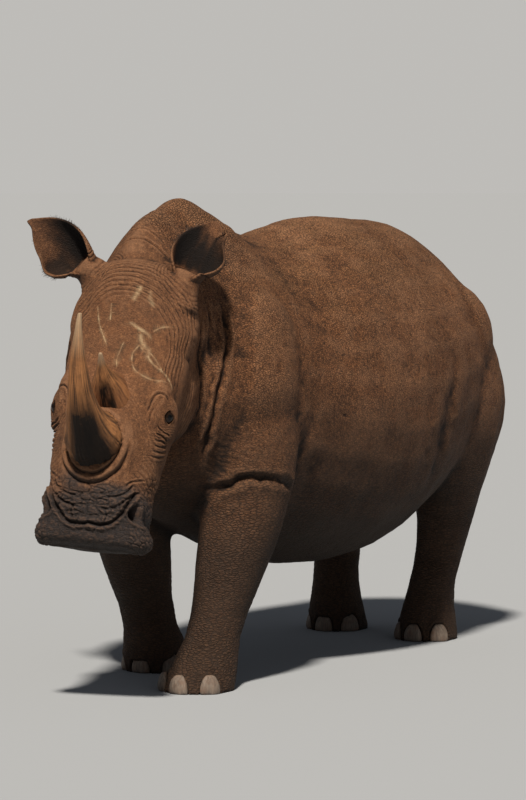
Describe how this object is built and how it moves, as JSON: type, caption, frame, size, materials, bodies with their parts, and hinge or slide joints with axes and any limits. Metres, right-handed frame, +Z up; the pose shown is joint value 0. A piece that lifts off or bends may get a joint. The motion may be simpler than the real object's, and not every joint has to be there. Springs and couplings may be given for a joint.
{
  "type": "white rhinoceros",
  "caption": "Life-size adult white rhinoceros standing with its head low, a long curved front horn, a short rear horn, wide square lips and mud-stained folded hide.",
  "frame": {"origin": "on the floor, under the middle of the whole animal's box", "axes": "+Z up, -Y the way the body faces, +X the animal's left"},
  "size_m": [1.169, 3.2134, 1.8067],
  "materials": {
    "hide": "dry, pebbled and folded hide stained with reddish mud, greyer along the back and the lips",
    "horn": "fibrous keratin, rubbed pale at the tip and frayed at the foot",
    "eye": "dark and wet",
    "nail": "worn horny nail"
  },
  "bodies": {
    "root": {"head": "hide", "neck": "hide", "trunk": "hide", "tail": "hide", "leg_front_left": "hide", "leg_front_right": "hide", "leg_hind_left": "hide", "leg_hind_right": "hide", "ear_left": "hide", "ear_right": "hide", "horn_front": "horn", "horn_rear": "horn", "eye_left": "eye", "eye_right": "eye", "nail_front_left_middle": "nail", "nail_front_left_outer": "nail", "nail_front_left_inner": "nail", "nail_front_right_middle": "nail", "nail_front_right_outer": "nail", "nail_front_right_inner": "nail", "nail_hind_left_middle": "nail", "nail_hind_left_outer": "nail", "nail_hind_left_inner": "nail", "nail_hind_right_middle": "nail", "nail_hind_right_outer": "nail", "nail_hind_right_inner": "nail"}
  },
  "joints": []
}
